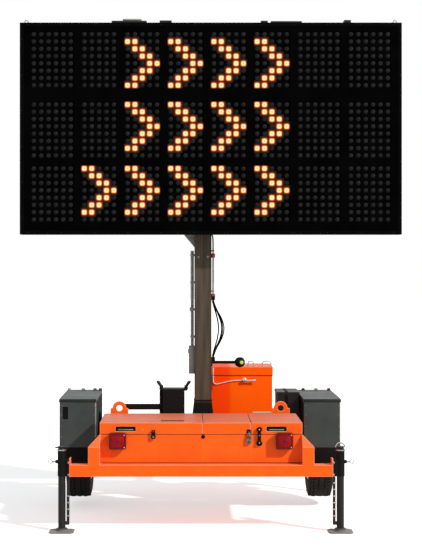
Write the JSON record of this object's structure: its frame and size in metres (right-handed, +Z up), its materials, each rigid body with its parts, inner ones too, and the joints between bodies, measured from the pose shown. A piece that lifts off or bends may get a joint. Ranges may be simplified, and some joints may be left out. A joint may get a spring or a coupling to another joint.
{
  "type": "message board trailer",
  "caption": "Towable lamp message board on a turning telescopic mast, with toolbox, control cabinet, boxed fenders, drop legs and a drawbar.",
  "frame": {"origin": "on the ground under the middle of the whole outline, trailer standing on its four raised legs", "axes": "+Z up, -Y to the trailer's rear, which the lamps face, +Y to the coupler, +X to the right seen from behind"},
  "size_m": [2.74, 3.3935, 3.592],
  "materials": {
    "orange_paint": "sprayed gloss enamel",
    "black_paint": "satin chassis enamel",
    "slate_paint": "satin enamel",
    "mast_paint": "weathered satin paint",
    "zinc": "zinc plated",
    "hard_chrome": "hard chrome",
    "red_lens": "moulded acrylic",
    "black_plastic": "moulded",
    "grey_plastic": "moulded",
    "black_rubber": "moulded",
    "tyre_rubber": "treaded",
    "black_aluminium": "powder coated",
    "solar_glass": "clear over dark cells",
    "cord": "braided"
  },
  "bodies": {
    "trailer": {"side_rails": "orange_paint", "rear_beam": "orange_paint", "front_beam": "orange_paint", "drawbar": "orange_paint", "coupler": "zinc", "toolbox_body": "orange_paint", "hinge_pins": "zinc", "batteries": "black_plastic", "lamp_housings": "black_plastic", "lamp_lenses": "red_lens", "fenders": "slate_paint", "lifting_lugs": "orange_paint", "cradle": "black_paint", "cabinet_body": "orange_paint", "latch_lanyard": "cord", "controller": "grey_plastic", "pump_unit": "black_paint", "battery_case": "black_plastic", "axle_beam": "black_paint", "leaf_springs": "black_paint", "spring_mounts": "black_paint", "leg_sleeves": "black_paint", "mast_base": "black_paint"},
    "lid_left": {"lid_left": "orange_paint"},
    "lid_middle": {"lid_middle": "orange_paint", "padlock": "zinc"},
    "lid_right": {"lid_right": "orange_paint"},
    "turn_latch": {"turn_latch": "black_paint"},
    "draw_latch": {"draw_latch": "black_rubber"},
    "cabinet_lid": {"cabinet_lid": "orange_paint"},
    "cabinet_latch": {"cabinet_latch": "zinc"},
    "coupler_latch": {"coupler_latch": "black_paint"},
    "wheel_left": {"tyre_left": "tyre_rubber", "rim_left": "zinc"},
    "wheel_right": {"tyre_right": "tyre_rubber", "rim_right": "zinc"},
    "leg_rear_left": {"leg_rear_left": "black_paint"},
    "leg_rear_right": {"leg_rear_right": "black_paint"},
    "leg_front_left": {"leg_front_left": "black_paint"},
    "leg_front_right": {"leg_front_right": "black_paint"},
    "pin_rear_left": {"pin_rear_left": "zinc"},
    "pin_rear_right": {"pin_rear_right": "zinc"},
    "pin_front_left": {"pin_front_left": "zinc"},
    "pin_front_right": {"pin_front_right": "zinc"},
    "mast": {"mast_tube": "mast_paint", "mast_boot": "black_rubber", "turn_handle": "black_paint", "valve_box": "grey_plastic", "conduit": "zinc", "mast_hose": "black_rubber", "lift_barrel": "black_paint"},
    "board": {"inner_mast": "mast_paint", "lift_rod": "hard_chrome", "board_frame": "black_aluminium", "board_housing": "black_aluminium", "board_modules": "black_plastic", "board_mask": "black_plastic", "solar_panels": "solar_glass", "lifting_eyes": "zinc", "top_fittings": "black_plastic"}
  },
  "joints": [
    {"name": "mast_turn", "type": "hinge", "parent": "trailer", "child": "mast", "pos_m": [-0.053, -0.82325, 0.5], "axis": [0, 0, 1], "range_deg": [-90, 0]},
    {"name": "mast_lift", "type": "slide", "parent": "mast", "child": "board", "axis": [0, 0, 1], "range_m": [-1.124, 0]},
    {"name": "lid_left_hinge", "type": "hinge", "parent": "trailer", "child": "lid_left", "pos_m": [-0.415, -0.94725, 0.733], "axis": [-1, 0, 0], "range_deg": [0, 88]},
    {"name": "lid_middle_hinge", "type": "hinge", "parent": "trailer", "child": "lid_middle", "pos_m": [0.103, -0.94725, 0.733], "axis": [-1, 0, 0], "range_deg": [0, 88]},
    {"name": "lid_right_hinge", "type": "hinge", "parent": "trailer", "child": "lid_right", "pos_m": [0.443, -0.94725, 0.733], "axis": [-1, 0, 0], "range_deg": [0, 88]},
    {"name": "cabinet_lid_hinge", "type": "hinge", "parent": "trailer", "child": "cabinet_lid", "pos_m": [0.238, -0.19425, 1.045], "axis": [-1, 0, 0], "range_deg": [0, 95]},
    {"name": "turn_latch_pivot", "type": "hinge", "parent": "trailer", "child": "turn_latch", "pos_m": [-0.402, -1.58525, 0.646], "axis": [0, 1, 0], "range_deg": [0, 90]},
    {"name": "draw_latch_pivot", "type": "hinge", "parent": "trailer", "child": "draw_latch", "pos_m": [0.324, -1.58925, 0.6], "axis": [1, 0, 0], "range_deg": [0, 110]},
    {"name": "cabinet_latch_pivot", "type": "hinge", "parent": "trailer", "child": "cabinet_latch", "pos_m": [0.258, -0.61825, 0.955], "axis": [0, 1, 0], "range_deg": [0, 90]},
    {"name": "coupler_latch_pivot", "type": "hinge", "parent": "trailer", "child": "coupler_latch", "pos_m": [-0.075, 1.54675, 0.46], "axis": [1, 0, 0], "range_deg": [0, 100]},
    {"name": "wheel_left_spin", "type": "hinge", "parent": "trailer", "child": "wheel_left", "pos_m": [-0.982, -0.45325, 0.365], "axis": [1, 0, 0], "continuous": true},
    {"name": "wheel_right_spin", "type": "hinge", "parent": "trailer", "child": "wheel_right", "pos_m": [0.832, -0.45325, 0.365], "axis": [1, 0, 0], "continuous": true},
    {"name": "leg_rear_left_slide", "type": "slide", "parent": "trailer", "child": "leg_rear_left", "axis": [0, 0, 1], "range_m": [0, 0.3]},
    {"name": "leg_rear_right_slide", "type": "slide", "parent": "trailer", "child": "leg_rear_right", "axis": [0, 0, 1], "range_m": [0, 0.3]},
    {"name": "leg_front_left_slide", "type": "slide", "parent": "trailer", "child": "leg_front_left", "axis": [0, 0, 1], "range_m": [0, 0.3]},
    {"name": "leg_front_right_slide", "type": "slide", "parent": "trailer", "child": "leg_front_right", "axis": [0, 0, 1], "range_m": [0, 0.3]},
    {"name": "pin_rear_left_pull", "type": "slide", "parent": "trailer", "child": "pin_rear_left", "axis": [-1, 0, 0], "range_m": [0, 0.02], "stiffness_N_per_m": 400, "springref_m": -0.005},
    {"name": "pin_rear_right_pull", "type": "slide", "parent": "trailer", "child": "pin_rear_right", "axis": [1, 0, 0], "range_m": [0, 0.02], "stiffness_N_per_m": 400, "springref_m": -0.005},
    {"name": "pin_front_left_pull", "type": "slide", "parent": "trailer", "child": "pin_front_left", "axis": [-1, 0, 0], "range_m": [0, 0.02], "stiffness_N_per_m": 400, "springref_m": -0.005},
    {"name": "pin_front_right_pull", "type": "slide", "parent": "trailer", "child": "pin_front_right", "axis": [1, 0, 0], "range_m": [0, 0.02], "stiffness_N_per_m": 400, "springref_m": -0.005}
  ]
}
